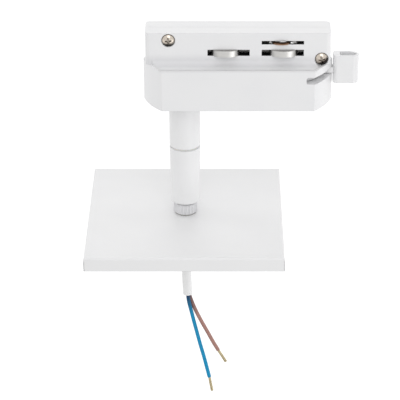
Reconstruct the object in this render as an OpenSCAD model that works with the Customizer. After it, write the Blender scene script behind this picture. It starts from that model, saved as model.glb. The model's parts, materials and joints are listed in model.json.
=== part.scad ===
// Track light mount: a track adapter with a swinging lock lever, a turning
// round stem and a square folded plate, with the two-core lead that feeds the lamp.
// The origin is on the stem's axis, at the top of the insert that enters the track.
// X runs along the track, Y across it and Z up.

/* [Track insert] */
// Height of the insert above the housing's rim
insert_h = 18; // [17:0.5:22]
// Width of the insert across the track
insert_w = 17.1; // [16.5:0.1:20]
// Distance of the insert's ends from the ends of the lower housing
insert_inset = 1.3; // [0.8:0.1:2]
// Radius of the insert's upright corners
insert_corner_r = 2.4; // [1:0.1:3]
// Wall of the insert's two half shells
insert_wall = 1.5; // [1.2:0.1:1.8]
// Thickness of the insert's top
insert_top = 1.5; // [1.2:0.1:2]
// Thickness of the insert's end walls
insert_end_wall = 4; // [3.8:0.1:4.8]
// Radius of the hollow curve between the insert and the rim
cove_r = 3; // [2:0.5:5]
// Gap between the two half shells at the seam
seam_gap = 0.1; // [0:0.05:0.2]

/* [Lower housing] */
// Height of the lower housing
housing_h = 23.8; // [21:0.1:30]
// Width of the lower housing
housing_w = 34; // [31:0.5:40]
// Length of the lower housing, from tip to tip
housing_len = 101.4; // [98:0.2:122]
// Length over which the housing's sides close in to the tip at each end
end_taper = 9.9; // [9:0.1:11]
// Radius of the two curves that meet at each tip, seen from above
end_arc_r = 38; // [32:1:60]
// Distance from the stem's axis to the middle of the adapter
housing_shift = 28.8; // [24:0.1:32]
// Side wall of the lower housing
housing_wall = 1.8; // [1.6:0.1:2.4]
// Floor of the lower housing
housing_floor = 2; // [1.6:0.1:3]
// Radius of the edge round the floor
housing_edge_r = 0.6; // [0.4:0.1:1.6]
// Wall left at the rim, beside the insert's flange
rim_wall = 1.25; // [1:0.05:1.5]
// Thickness of the insert's flange
flange_t = 2; // [1.8:0.1:2.6]
// How far the snap bead stands out of the flange's edge
snap_bead = 0.3; // [0.2:0.05:0.5]
// Depth of the ribs inside the long walls, which carry the flange
rib_deep = 2; // [1:0.1:2.4]
// Thickness of those ribs
rib_t = 1.6; // [1:0.1:2]

/* [Contact slots] */
// Length of each slot
slot_len = 22.4; // [20:0.2:23]
// Height of the two lower slots
low_slot_h = 3.5; // [3.5:0.1:4]
// Depth of the lower slots' middle below the insert's top
low_slot_z = 11.2; // [10.6:0.1:11.6]
// Height of the upper slot
high_slot_h = 2; // [1.8:0.1:2.4]
// Depth of the upper slot's middle below the insert's top
high_slot_z = 5.4; // [5:0.1:6]
// Distance from the adapter's middle to the left slot's middle
left_slot_x = -5; // [-5.5:0.1:-4.8]
// Distance from the adapter's middle to the right slots' middle
right_slot_x = 23.8; // [23.5:0.1:24.2]

/* [Springs and contacts] */
// Thickness of a side spring's strip
spring_t = 0.4; // [0.3:0.05:0.5]
// Height of a side spring's strip
spring_h = 3.3; // [2.8:0.1:3.3]
// How far a side spring stands out of the insert
spring_out = 2.6; // [1:0.1:3]
// Length of the bowed part of a side spring
spring_bow_len = 15.4; // [13:0.2:16]
// Depth of the springs' and contacts' feet behind the insert's inner wall
foot_deep = 3.2; // [2:0.1:3.4]
// Thickness of a copper contact's strip
contact_t = 0.5; // [0.4:0.05:0.6]
// Height of a copper contact's strip
contact_h = 1.7; // [1.2:0.1:1.7]
// How far a copper contact stands out of the insert
contact_out = 1.5; // [1:0.1:2]
// Length of the bowed part of a copper contact
contact_bow_len = 10.6; // [9:0.2:14]
// Width of the copper contact's tail
tail_w = 1.6; // [1.2:0.1:1.8]

/* [Lock lever] */
// Swing of the lever from the track's line to the front, in degrees
lever_swing = 60; // [45:1:60]
// Radius of the lever's hub
hub_r = 14.2; // [12:0.1:14.8]
// Thickness of the lever's hub and arm
hub_t = 3.3; // [3:0.1:3.4]
// Depth of the pockets under the hub
hub_pocket = 1.8; // [1:0.1:2]
// Height of the slot in which the arm swings
lever_slot_h = 4; // [3.9:0.1:4.4]
// Depth of that slot below the rim
lever_slot_drop = 4; // [3.5:0.1:4.2]
// Width of the lever's arm
arm_w = 4.4; // [4:0.2:5]
// Length of the finger loop along the arm
loop_len = 13.8; // [13:0.1:16]
// Width of the finger loop across the arm
loop_w = 7.6; // [7:0.2:9]
// Height of the finger loop
loop_h = 15.8; // [13:0.2:16]
// How far the middle of the finger loop stands above the middle of the arm
loop_rise = 0.9; // [0:0.1:1]
// Wall of the finger loop
loop_wall = 1.3; // [1:0.1:1.5]
// Thickness of the loop's root, beside the housing
loop_root = 3.6; // [1.6:0.1:4]
// Radius of the loop's root corners
loop_r = 2.4; // [1.5:0.1:3]
// Gap between the housing's tip and the finger loop
loop_gap = 0.5; // [0.4:0.1:1.5]
// Distance of the lever's axis from the housing's tip
pivot_back = 20; // [19.5:0.1:21]
// Diameter of the shoulder that the lever turns on
pivot_d = 4; // [3.5:0.1:4.5]
// Distance of the crank pin from the lever's axis
crank_r = 5; // [4.8:0.1:5.1]
// Diameter of the crank pin
crank_d = 2.2; // [2:0.1:2.4]

/* [Stem] */
// Outer diameter of the upper tube
tube_d = 17; // [15.5:0.1:20]
// Wall of the upper tube
tube_wall = 1.5; // [1.2:0.1:2]
// Length of the upper tube
tube_len = 27.2; // [26:0.1:36]
// Height of the turning joint's groove
groove_h = 1; // [0.8:0.1:1.5]
// Length of the lower sleeve
sleeve_len = 33; // [28:0.5:40]
// Diameter of the lower sleeve at its lower end
sleeve_foot_d = 15.8; // [15.2:0.1:17]
// Thread diameter of the two hollow nipples
nipple_d = 10; // [9:0.5:10]
// Bore of the hollow nipples
nipple_bore = 7.2; // [6.4:0.1:7.4]
// Gap between the lower sleeve and the lock nut
sleeve_nut_gap = 1.2; // [1:0.1:2]
// Height of the lock nut
lock_nut_h = 6; // [5:0.1:7]
// Diameter of the lock nut over its ribs
lock_nut_d = 13; // [12.6:0.1:15]
// Thickness of the washer under the lock nut
washer_t = 0.8; // [0.6:0.1:1.2]

/* [Plate] */
// Side of the square plate
plate_w = 108; // [80:1:140]
// Depth of the plate's folded sides
plate_h = 8; // [7.5:0.5:14]
// Thickness of the plate's sheet
plate_t = 1; // [0.8:0.1:1.5]
// Inner radius of the plate's bends
bend_r = 0.3; // [0.2:0.1:1]
// Width of the open seam at the plate's corners
corner_seam = 0.3; // [0.2:0.1:0.6]
// Width across the flats of the two hexagon nuts
hex_af = 14; // [13:0.5:14]
// Height of a hexagon nut
hex_h = 3; // [2.5:0.1:3.2]

/* [Lead] */
// Diameter of the lead's sheath
cable_d = 5.4; // [5:0.1:5.6]
// Diameter of an insulated core
core_d = 2.2; // [1.8:0.1:2.2]
// Diameter of the bared strands
strand_d = 1.3; // [1:0.1:1.4]

/* [Hidden] */
$fn = 48;
// Radial clearance of a running fit
run_fit = 0.05;
// Clearance beside a piece that slides or swings
side_fit = 0.3;
// Clearance round a flange that drops into its seat
seat_fit = 0.15;
// Depth by which a cut passes through a face
over = 1;

rim_z = -insert_h;
floor_z = rim_z - housing_h;
floor_top_z = floor_z + housing_floor;
flange_z = rim_z - flange_t;
insert_half = insert_w / 2;
cavity_half = insert_half - insert_wall;
insert_len = housing_len - 2 * insert_inset;
insert_x0 = housing_shift - insert_len / 2;
insert_x1 = housing_shift + insert_len / 2;
end_blend = 2;
end_x0 = housing_len / 2 - end_taper - end_blend;
end_chord = norm([end_taper, housing_w / 2]);
end_chord_dist = sqrt(pow(end_arc_r, 2) - pow(end_chord / 2, 2));
end_centre_x = (housing_len - end_taper - end_chord_dist * housing_w / end_chord) / 2;
end_centre_y = end_chord_dist * end_taper / end_chord - housing_w / 4;
pivot_x = housing_shift + housing_len / 2 - pivot_back;
snap_h = 0.8;
snap_z = flange_z + 0.6;
rib_x = [housing_shift - 26, housing_shift - 9, housing_shift + 8];

// Bolts that hold the two half shells together
shell_bolt_d = 3;
shell_head_d = 6.8;
shell_head_h = 2.2;
shell_recess_d = 7.4;
shell_recess_deep = 1;
bolt_boss_d = 6.2;
left_bolt = [insert_x0 + 12.4, rim_z + 13.8];
right_bolt = [insert_x1 - 4.8, rim_z + 3.2];
shell_bolt_len = 14.5;
shell_bolt_free = 0.4;
shell_head_dome_r = 4.6;
cross_len = 3.4;
cross_w = 0.8;
cross_deep = 0.9;
bolt_tip_gap = 2.2;
boss_sink = 0.2;

// Posts beside the slots, which carry the springs' and contacts' feet
left_slot_mid = housing_shift + left_slot_x;
right_slot_mid = housing_shift + right_slot_x;
post_t = 1.6;
post_gap = 0.2;
post_reach = slot_len / 2 + post_gap + post_t;
post_end_z = -low_slot_z - 2;
foot_y = cavity_half - foot_deep;
bow_from_foot = foot_deep + insert_wall;

// Side springs and the sliding bar between them
spring_z = -low_slot_z - spring_h / 2;
left_spring_shift = -1.6;
right_spring_shift = 0.4;
bow_steps = 28;
bow_power = 2.6;
slide_h = 3;
slide_drop = 0.9;
slide_z = spring_z - slide_drop - slide_h;
slide_half = 2;
slide_lobe_gap = 0.5;
slide_lobe_r = foot_y - spring_t - slide_lobe_gap;
slide_lobe_top = -low_slot_z + spring_h / 2;
slide_back = 2.8;
fork_prong = 1.8;
cradle_x = [housing_shift - 20.8, housing_shift + 12.2];
cradle_t = 1.6;
cradle_side_t = 1.7;
cradle_deep = 2.4;
cradle_z = slide_z - cradle_deep;

// Copper contacts
contact_z = -high_slot_z - contact_h / 2;
contact_shift = -0.8;
tail_x = right_slot_mid - post_reach - tail_w / 2 - 0.6;
tail_end_z = rim_z - 1;
tail_lug = 2.4;

// Lever, crank pin and its slot in the housing
lever_slot_top = rim_z - lever_slot_drop;
hub_z = lever_slot_top - (lever_slot_h + hub_t) / 2;
hub_top_z = hub_z + hub_t;
crank_angle = 90 + lever_swing / 2;
crank_pos = [pivot_x + crank_r * cos(crank_angle), crank_r * sin(crank_angle)];
slot_margin = 11.2;
slot_corner_r = 1.2;
slot_corner_turn = 7;
shelf_t = 1.6;
shelf_past_slot = 2;
shelf_under_hub = 2;
end_reach = max(pivot_back, norm([pivot_back - end_taper, housing_w / 2]));
loop_nose_front = 3.5;
loop_nose_back = 7;
loop_steps = 12;
loop_x0 = pivot_x + end_reach + loop_gap;
hub_rim = 1.6;
hub_core_r = 7;
hub_spoke = 1.4;
pivot_head_d = 6.4;
pivot_head_h = 1.8;
boss_d = 9;
pivot_thread_d = 3;
pivot_thread_len = 8;

// Stem levels, from the housing's floor down to the plate
tube_end_z = floor_z - tube_len;
tube_edge = 0.3;
tube_cap = 3;
collar_h = 3;
neck_d = 11;
head_d = tube_d - 2 * tube_wall - 1;
head_h = 4;
sleeve_z = tube_end_z - groove_h;
sleeve_end_z = sleeve_z - sleeve_len;
sleeve_wall = 1.6;
sleeve_cap = 3.5;
sleeve_web = 3.5;
web_set_back = 2.5;
web_z = sleeve_end_z + web_set_back;
lock_nut_top_z = sleeve_end_z - sleeve_nut_gap;
lock_nut_z = lock_nut_top_z - lock_nut_h;
plate_z = lock_nut_z - washer_t;
plate_under_z = plate_z - plate_t;
plate_foot_z = plate_z - plate_h;
plate_nut_z = plate_under_z - washer_t - hex_h;
nipple_past_nut = 1.5;
nipple_past_cap = 4;
nipple_past_web = 2;
nipple_past_plate_nut = 0.6;
upper_nipple_top_z = floor_top_z + hex_h + nipple_past_nut;
upper_nipple_end_z = floor_z - tube_cap - nipple_past_cap;
lower_nipple_top_z = web_z + sleeve_web + nipple_past_web;
lower_nipple_end_z = plate_nut_z - nipple_past_plate_nut;
bush_lip = 1;
bush_deep = 5;
bush_edge = 0.3;
bush_z = lower_nipple_end_z - bush_lip;
lock_nut_ribs = 20;
lock_nut_groove_d = 0.9;
nut_edge = 0.5;
plate_hole_free = 0.4;
seam_stop = 0.6;
plate_washer_lip = 2;
washer_free = 0.2;
lock_washer_inset = 0.8;
groove_inset = 1.3;
groove_play = 0.1;

// Routes of the lead and its cores, chosen by hand
cable_top_z = upper_nipple_top_z + 2;
stem_cable_route = [
    [0, 0, bush_z], [0, 0, -100], [0, 0, -83], [0, 0, -67], [0, 0, -50], [0, 0, cable_top_z]
];
cable_route = [
    [0, 0, bush_z], [0, 0, -122], [0.1, 0, -129], [0.35, 0, -139], [0.5, 0, -150], [0.85, 0, -159.5],
    [1, 0, -163.5], [1, 0, -165]
];
blue_route = [
    [0.65, -1.05, -165], [0.65, -1.05, -166], [1.4, -1, -169.5], [2.6, -0.7, -174], [4.3, -0.2, -182],
    [6, 0, -190], [7.8, 0, -198.5], [9.8, 0, -206.5], [11.8, 0, -215], [13.4, 0, -222]
];
blue_tip_route = [[13.4, 0, -222], [14.2, 0, -225.5], [14.4, 0, -230]];
brown_route = [
    [1.55, 1.05, -165], [1.55, 1.05, -166], [3.2, 1, -169.5], [5.5, 0.6, -174], [9.1, 0.1, -182],
    [12.9, 0, -190], [16.8, 0, -198.5], [20.3, 0, -206]
];
brown_tip_route = [[20.3, 0, -206], [21.7, 0, -209], [23, 0, -212.5]];
line_route = [
    [tail_x, 5, tail_end_z], [tail_x, 5, rim_z - 3.5], [36.2, 5, rim_z - 7.5], [32.5, 4.8, rim_z - 10.5],
    [27, 4.5, rim_z - 11.5], [20, 4, rim_z - 11.5], [13, 3, rim_z - 10.5], [6, 2, rim_z - 9.5],
    [2.4, 1.5, rim_z - 10.5], [1.5, 1.4, rim_z - 13.5], [1.5, 1.4, cable_top_z]
];

// A vector of length one in the same direction
function unit(v) = v / norm(v);

// Direction of a route at one of its points
function heading(route, i) =
    unit(route[min(i + 1, len(route) - 1)] - route[max(i - 1, 0)]);

// A ring of points round a route, square to its direction
function ring(route, i, r, sides) =
    let (t = heading(route, i), a = unit(cross(t, [0, 1, 0])), b = cross(t, a))
    [for (k = [0:sides - 1]) route[i] + r * (cos(360 * k / sides) * a + sin(360 * k / sides) * b)];

// A round solid swept along a route
module swept_tube(route, d, sides = 8) {
    rings = len(route);
    points = [for (i = [0:rings - 1]) each ring(route, i, d / 2, sides)];
    walls = [
        for (i = [0:rings - 2]) for (k = [0:sides - 1])
            [i * sides + k, i * sides + (k + 1) % sides,
             (i + 1) * sides + (k + 1) % sides, (i + 1) * sides + k]
    ];
    first_end = [[for (k = [sides - 1:-1:0]) k]];
    last_end = [[for (k = [0:sides - 1]) (rings - 1) * sides + k]];
    polyhedron(points, concat(first_end, walls, last_end));
}

// The adapter's outline from above, set in by a wall: straight sides, and two curves to each tip
module plan(inset) {
    width = housing_w - 2 * inset;
    square([2 * (end_x0 + boss_sink), width], center = true);
    for (turn = [0, 180]) rotate(turn) intersection() {
        translate([end_x0, -width / 2]) square([end_taper + end_blend + over, width]);
        translate([end_centre_x, end_centre_y]) circle(end_arc_r - inset, $fn = 192);
        translate([end_centre_x, -end_centre_y]) circle(end_arc_r - inset, $fn = 192);
    }
}

// Half profile of a wall that stands on a rounded edge
module edge_profile(half, h, r) {
    translate([0, r]) square([half, h - r]);
    square([half - r, h]);
    translate([half - r, r]) circle(r);
}

// A disc that is as wide as a tip's curve and rounded at its lower edge
module end_disc(side) {
    translate([end_centre_x, side * end_centre_y, 0])
        rotate_extrude($fn = 192) edge_profile(end_arc_r, housing_h, housing_edge_r);
}

// The housing before it is hollowed: the adapter's outline, with its lower edge rounded all round
module housing_block() {
    end_len = end_taper + end_blend + over;
    intersection() {
        rotate([90, 0, 90]) linear_extrude(housing_len + 2 * over, center = true) for (side = [0, 1])
            mirror([side, 0]) edge_profile(housing_w / 2, housing_h, housing_edge_r);
        union() {
            translate([-end_x0 - boss_sink, -housing_w / 2 - over, 0])
                cube([2 * (end_x0 + boss_sink), housing_w + 2 * over, housing_h]);
            for (turn = [0, 180]) rotate([0, 0, turn]) intersection() {
                translate([end_x0, -housing_w / 2 - over, 0])
                    cube([end_len, housing_w + 2 * over, housing_h]);
                end_disc(1);
                end_disc(-1);
            }
        }
    }
}

// Outline of a rectangle with round corners
module round_rect(length, width, r) {
    square([length - 2 * r, width], center = true);
    square([length, width - 2 * r], center = true);
    for (sx = [-1, 1]) for (sy = [-1, 1])
        translate([sx * (length / 2 - r), sy * (width / 2 - r)]) circle(r);
}

module ring_solid(outer_d, inner_d, h) {
    difference() {
        cylinder(d = outer_d, h = h);
        translate([0, 0, -over]) cylinder(d = inner_d, h = h + 2 * over);
    }
}

module at_middle(z) {
    translate([housing_shift, 0, z]) children();
}

// A bore across the adapter, along Y, from one depth to another
module cross_bore(at, d, y0, y1) {
    translate([at[0], y1, at[1]]) rotate([90, 0, 0]) cylinder(d = d, h = y1 - y0);
}

// Slot in which the lever's arm swings: an arc round the lever's axis, with round corners at its front end
module lever_slot() {
    slot_in = housing_w / 2 - housing_wall - side_fit;
    slot_deep = end_reach + over - slot_in;
    rotate([0, 0, -lever_swing - slot_margin]) {
        translate([slot_in, lever_slot_h / 2, lever_slot_h / 2]) rotate([90, 0, 90])
            linear_extrude(slot_deep) round_rect(lever_slot_h, lever_slot_h, slot_corner_r);
        rotate([0, 0, slot_corner_turn]) rotate_extrude(
            angle = lever_swing + 2 * slot_margin - slot_corner_turn, $fn = 96)
            translate([slot_in, 0]) square([slot_deep, lever_slot_h]);
    }
}

// Shelf inside the wall under the slot, which carries the lever's arm and its hub's edge
module lever_shelf() {
    from_axis = end_reach * cos(lever_swing + slot_margin) - shelf_past_slot;
    past_axis = end_reach * sin(slot_margin) + shelf_past_slot;
    at_middle(lever_slot_top - lever_slot_h - shelf_t) linear_extrude(shelf_t) difference() {
        intersection() {
            plan(housing_wall - boss_sink);
            translate([pivot_x - housing_shift + from_axis, -housing_w])
                square([housing_len, housing_w + past_axis]);
        }
        translate([pivot_x - housing_shift, 0]) circle(hub_r - shelf_under_hub, $fn = 96);
    }
}

// Lower housing: a cup with pointed ends and the lever's slot round one of them
module housing() {
    inner_half = housing_w / 2 - housing_wall;
    color("white") union() {
        difference() {
            at_middle(floor_z) housing_block();
            at_middle(floor_top_z) linear_extrude(housing_h) plan(housing_wall);
            at_middle(flange_z) linear_extrude(flange_t + over) plan(rim_wall);
            at_middle(snap_z - seat_fit) linear_extrude(snap_h + 2 * seat_fit) plan(rim_wall - snap_bead);
            translate([0, 0, floor_z - over])
                cylinder(d = nipple_d + 2 * run_fit, h = housing_floor + 2 * over);
            translate([pivot_x, 0, lever_slot_top - lever_slot_h]) lever_slot();
        }
        for (x = rib_x) for (side = [0, 1]) mirror([0, side, 0])
            translate([x, inner_half - rib_deep, floor_top_z - boss_sink])
            cube([rib_t, rib_deep + boss_sink, flange_z - floor_top_z + boss_sink]);
        lever_shelf();
        translate([pivot_x, 0, floor_top_z]) difference() {
            cylinder(d = boss_d, h = hub_z - side_fit - floor_top_z);
            translate([0, 0, hub_z - side_fit - floor_top_z - pivot_thread_len])
                cylinder(d = pivot_thread_d + 2 * run_fit, h = pivot_thread_len + over);
        }
    }
}

// Cove profile between the insert's side and the rim, for the +Y side
module cove_profile() {
    difference() {
        translate([cavity_half, 0]) square([insert_wall + cove_r, cove_r]);
        translate([insert_half + cove_r, cove_r]) circle(cove_r, $fn = 96);
    }
}

// Outside of the insert: its box, the coves along both sides and the flange with its snap bead
module insert_outside() {
    flange_inset = rim_wall + seat_fit;
    at_middle(rim_z) linear_extrude(insert_h) round_rect(insert_len, insert_w, insert_corner_r);
    intersection() {
        at_middle(rim_z) for (side = [0, 1]) mirror([0, side, 0])
            rotate([90, 0, 90]) linear_extrude(housing_len, center = true) cove_profile();
        at_middle(rim_z) linear_extrude(insert_h) plan(rim_wall);
    }
    at_middle(flange_z) linear_extrude(flange_t) plan(flange_inset);
    at_middle(snap_z) linear_extrude(snap_h) plan(flange_inset - snap_bead);
}

// Slots through one side wall of the insert
module side_slots() {
    for (mid = [left_slot_mid, right_slot_mid])
        translate([mid - slot_len / 2, cavity_half - over, -low_slot_z - low_slot_h / 2])
            cube([slot_len, insert_wall + cove_r, low_slot_h]);
    translate([right_slot_mid - slot_len / 2, cavity_half - over, -high_slot_z - high_slot_h / 2])
        cube([slot_len, insert_wall + 2 * over, high_slot_h]);
}

// A post beside a slot, moulded down from the insert's top, for the +Y half
module post(x) {
    translate([x, foot_y, post_end_z])
        cube([post_t, foot_deep + boss_sink, -insert_top + boss_sink - post_end_z]);
}

// A cradle that carries and guides the sliding bar, for the +Y half
module cradle(x) {
    bar_clear = slide_half + side_fit;
    translate([x, 0, cradle_z]) cube([cradle_t, cavity_half + boss_sink, slide_z - side_fit - cradle_z]);
    translate([x, bar_clear, cradle_z]) cube([cradle_t, cradle_side_t, slide_z + slide_h - cradle_z]);
}

// One half shell, built on the +Y side
module half_shell(bolt_d) {
    hollow_len = insert_len - 2 * insert_end_wall;
    hollow_h = insert_h + flange_t + over - insert_top;
    difference() {
        union() {
            difference() {
                insert_outside();
                translate([insert_x0 + insert_end_wall, -cavity_half, flange_z - over])
                    cube([hollow_len, 2 * cavity_half, hollow_h]);
                side_slots();
            }
            for (x = cradle_x) cradle(x);
            for (mid = [left_slot_mid, right_slot_mid]) {
                post(mid - post_reach);
                post(mid + post_reach - post_t);
            }
            for (at = [left_bolt, right_bolt]) cross_bore(at, bolt_boss_d, 0, cavity_half + boss_sink);
        }
        for (at = [left_bolt, right_bolt])
            cross_bore(at, bolt_d, -over, shell_bolt_len - insert_half + boss_sink);
        at_middle(floor_z) translate([-housing_len / 2, -housing_w + seam_gap / 2, 0])
            cube([housing_len, housing_w, 2 * housing_h + insert_h]);
    }
}

module insert_front() {
    color("white") difference() {
        mirror([0, 1, 0]) half_shell(shell_bolt_d + shell_bolt_free);
        for (at = [left_bolt, right_bolt]) {
            cross_bore(at, shell_bolt_d + shell_bolt_free, -housing_w, 0);
            cross_bore(at, shell_recess_d, -housing_w, -insert_half + shell_recess_deep);
        }
    }
}

module insert_back() {
    color("white") half_shell(shell_bolt_d + 2 * run_fit);
}

// Cross-recessed bolts through the front shell into the back one
module shell_screws() {
    head_y = -insert_half + shell_recess_deep;
    color("tan") for (at = [left_bolt, right_bolt]) difference() {
        union() {
            cross_bore(at, shell_bolt_d, head_y - cross_w, head_y + shell_bolt_len - bolt_tip_gap);
            translate([at[0], head_y, at[1]]) rotate([90, 0, 0]) rotate_extrude() pan_profile();
        }
        for (turn = [20, 110])
            translate([at[0], head_y - shell_head_h, at[1]]) rotate([0, turn, 0])
                cube([cross_len, 2 * cross_deep, cross_w], center = true);
    }
}

// Half profile of a low domed bolt head, standing up from its seat
module pan_profile() {
    intersection() {
        square([shell_head_d / 2, shell_head_h]);
        translate([0, shell_head_h - shell_head_dome_r]) circle(shell_head_dome_r, $fn = 96);
    }
}

// Outline of a bowed strip: flat feet and a full round hump between them
module bow_outline(bow_len, out, t, shift) {
    steps = bow_steps;
    half = post_reach;
    function hump(u, rise) = rise * pow(1 - pow(abs(2 * u - 1), bow_power), 1 / bow_power);
    function edge(len, rise, drop) = [
        for (i = [0:steps]) let (u = (1 - cos(180 * i / steps)) / 2)
            [shift + (u - 0.5) * len, hump(u, rise) + drop]
    ];
    inner = edge(bow_len - 2 * t, out, -t);
    polygon(concat(
        [[-half, 0]], edge(bow_len, out, 0), [[half, 0], [half, -t]],
        [for (i = [steps:-1:0]) inner[i]], [[-half, -t]]
    ));
}

// A side spring that bows out of its slot, with its feet on the posts of the +Y half
module side_spring(mid, shift) {
    color("silver") translate([mid, foot_y, spring_z]) linear_extrude(spring_h)
        bow_outline(spring_bow_len, spring_out + bow_from_foot, spring_t, shift);
}

module side_spring_front_left() { mirror([0, 1, 0]) side_spring(left_slot_mid, left_spring_shift); }
module side_spring_front_right() { mirror([0, 1, 0]) side_spring(right_slot_mid, right_spring_shift); }
module side_spring_back_left() { side_spring(left_slot_mid, left_spring_shift); }
module side_spring_back_right() { side_spring(right_slot_mid, right_spring_shift); }

// A copper contact with its tail and lug, seated on the posts of the +Y half
module copper_contact() {
    tail_y = foot_y - contact_t;
    tail_x0 = tail_x - tail_w / 2;
    tail_top = contact_z + contact_h;
    color("peru") union() {
        translate([right_slot_mid, foot_y, contact_z]) linear_extrude(contact_h)
            bow_outline(contact_bow_len, contact_out + bow_from_foot, contact_t, contact_shift);
        translate([tail_x0, tail_y, contact_z])
            cube([right_slot_mid - post_reach + post_t - tail_x0, contact_t, contact_h]);
        translate([tail_x0, tail_y, tail_end_z]) cube([tail_w, contact_t, tail_top - tail_end_z]);
        translate([tail_x0, tail_y, tail_end_z]) cube([tail_w, tail_lug, contact_t]);
    }
}

module contact_front() { mirror([0, 1, 0]) copper_contact(); }
module contact_back() { copper_contact(); }

// Sliding bar: two round lobes between the side springs and a fork for the crank pin
module lock_slide() {
    fork_in = crank_d + 2 * seat_fit;
    fork_x0 = crank_pos[0] - fork_in / 2;
    fork_y0 = crank_pos[1] - crank_d / 2 - side_fit;
    fork_y1 = crank_r + crank_d / 2 + boss_sink;
    bar_x0 = cradle_x[0] - 1;
    color("gainsboro") translate([0, 0, slide_z]) difference() {
        union() {
            translate([bar_x0, -slide_half, 0])
                cube([fork_x0 - bar_x0, 2 * slide_half, slide_h]);
            for (x = [left_slot_mid + left_spring_shift, right_slot_mid + right_spring_shift - slide_back])
                translate([x, 0, 0]) cylinder(r = slide_lobe_r, h = slide_lobe_top - slide_z);
            translate([fork_x0 - fork_prong, -slide_half, 0])
                cube([fork_in + 2 * fork_prong, slide_half + fork_y1, slide_h]);
        }
        translate([fork_x0, fork_y0, -over]) cube([fork_in, crank_r, slide_h + 2 * over]);
    }
}

// Outline of the finger loop: round root corners and a nose that is fuller at the back
module loop_outline(inset) {
    half = loop_w / 2 - inset;
    x0 = (inset == 0) ? 0 : loop_root;
    x1 = loop_len - inset;
    r = max(loop_r - inset, 0.4);
    nose_y = loop_nose_front - loop_w / 2;
    function arc(cx, cy, rx, ry, from) = [
        for (i = [0:loop_steps]) let (a = from + 90 * i / loop_steps) [cx + rx * cos(a), cy + ry * sin(a)]
    ];
    polygon(concat(
        arc(x0 + r, -half + r, r, r, 180),
        arc(x1 - (loop_nose_front - inset), nose_y, loop_nose_front - inset, nose_y + half, -90),
        arc(x1 - (loop_nose_back - inset), nose_y, loop_nose_back - inset, half - nose_y, 0),
        arc(x0 + r, half - r, r, r, 90)
    ));
}

// Pockets that lighten the underside of the lever's hub, between six spokes
module hub_pockets() {
    translate([0, 0, -over]) difference() {
        ring_solid(2 * (hub_r - hub_rim), 2 * hub_core_r, over + hub_pocket);
        for (turn = [0, 60, 120]) rotate([0, 0, turn]) translate([-hub_r, -hub_spoke / 2, -over])
            cube([2 * hub_r, hub_spoke, hub_pocket + 3 * over]);
    }
}

// Lever: hub, crank pin, arm and the finger loop outside the housing's tip
module lock_lever() {
    loop_z = hub_z + hub_t / 2 + loop_rise - loop_h / 2;
    crank_top_z = slide_z + slide_h + side_fit;
    color("white") difference() {
        union() {
            translate([pivot_x, 0, hub_z]) difference() {
                cylinder(r = hub_r, h = hub_t, $fn = 96);
                hub_pockets();
            }
            translate([pivot_x, -arm_w / 2, hub_z]) cube([loop_x0 + loop_wall - pivot_x, arm_w, hub_t]);
            translate([crank_pos[0], crank_pos[1], hub_z]) cylinder(d = crank_d, h = crank_top_z - hub_z);
            translate([loop_x0, 0, loop_z]) linear_extrude(loop_h) difference() {
                loop_outline(0);
                loop_outline(loop_wall);
            }
        }
        translate([pivot_x, 0, hub_z - over]) cylinder(d = pivot_d + 2 * run_fit, h = hub_t + 2 * over);
    }
}

// Shouldered screw that the lever turns on
module lever_pivot() {
    shoulder_z = hub_z - side_fit;
    color("silver") translate([pivot_x, 0, 0]) difference() {
        union() {
            translate([0, 0, shoulder_z - pivot_thread_len + side_fit])
                cylinder(d = pivot_thread_d, h = pivot_thread_len);
            translate([0, 0, shoulder_z]) cylinder(d = pivot_d, h = hub_t + 2 * side_fit);
            translate([0, 0, hub_top_z + side_fit]) cylinder(d = pivot_head_d, h = pivot_head_h);
        }
        for (turn = [0, 90]) rotate([0, 0, turn]) translate([0, 0, hub_top_z + side_fit + pivot_head_h])
            cube([cross_len, cross_w, 2 * cross_deep], center = true);
    }
}

// Upper tube: capped at the top, with an inner collar at its lower end
module upper_tube() {
    tube_r = tube_d / 2;
    bore_r = tube_r - tube_wall;
    neck_r = neck_d / 2 + run_fit;
    thread_r = nipple_d / 2 + run_fit;
    cap_z = tube_len - tube_cap;
    color("white") translate([0, 0, tube_end_z]) rotate_extrude($fn = 96) polygon([
        [neck_r, 0], [tube_r - tube_edge, 0], [tube_r, tube_edge], [tube_r, tube_len], [thread_r, tube_len],
        [thread_r, cap_z], [bore_r, cap_z], [bore_r, collar_h], [neck_r, collar_h]
    ]);
}

module tube_nipple() {
    color("silver") translate([0, 0, upper_nipple_end_z])
        ring_solid(nipple_d, nipple_bore, upper_nipple_top_z - upper_nipple_end_z);
}

// A hexagon nut with its edges turned off
module hex_nut(bore) {
    corner_r = hex_af / 2 / cos(30);
    difference() {
        intersection() {
            cylinder(r = corner_r, h = hex_h, $fn = 6);
            rotate_extrude($fn = 96) polygon([
                [0, 0], [hex_af / 2, 0], [corner_r, nut_edge], [corner_r, hex_h - nut_edge],
                [hex_af / 2, hex_h], [0, hex_h]
            ]);
        }
        translate([0, 0, -over]) cylinder(d = bore, h = hex_h + 2 * over);
    }
}

module tube_nut() {
    color("silver") translate([0, 0, floor_top_z]) hex_nut(nipple_d + 2 * run_fit);
}

// Turned spindle: its head rests on the tube's collar and its neck screws into the sleeve
module swivel_spindle() {
    head_z = tube_end_z + collar_h;
    foot_z = sleeve_z - sleeve_cap;
    color("silver") difference() {
        union() {
            translate([0, 0, head_z]) cylinder(d = head_d, h = head_h);
            translate([0, 0, sleeve_z]) cylinder(d = neck_d, h = head_z - sleeve_z);
            translate([0, 0, foot_z]) cylinder(d = nipple_d, h = sleeve_cap);
        }
        translate([0, 0, foot_z - over]) cylinder(d = nipple_bore, h = head_z + head_h - foot_z + 2 * over);
    }
}

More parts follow.
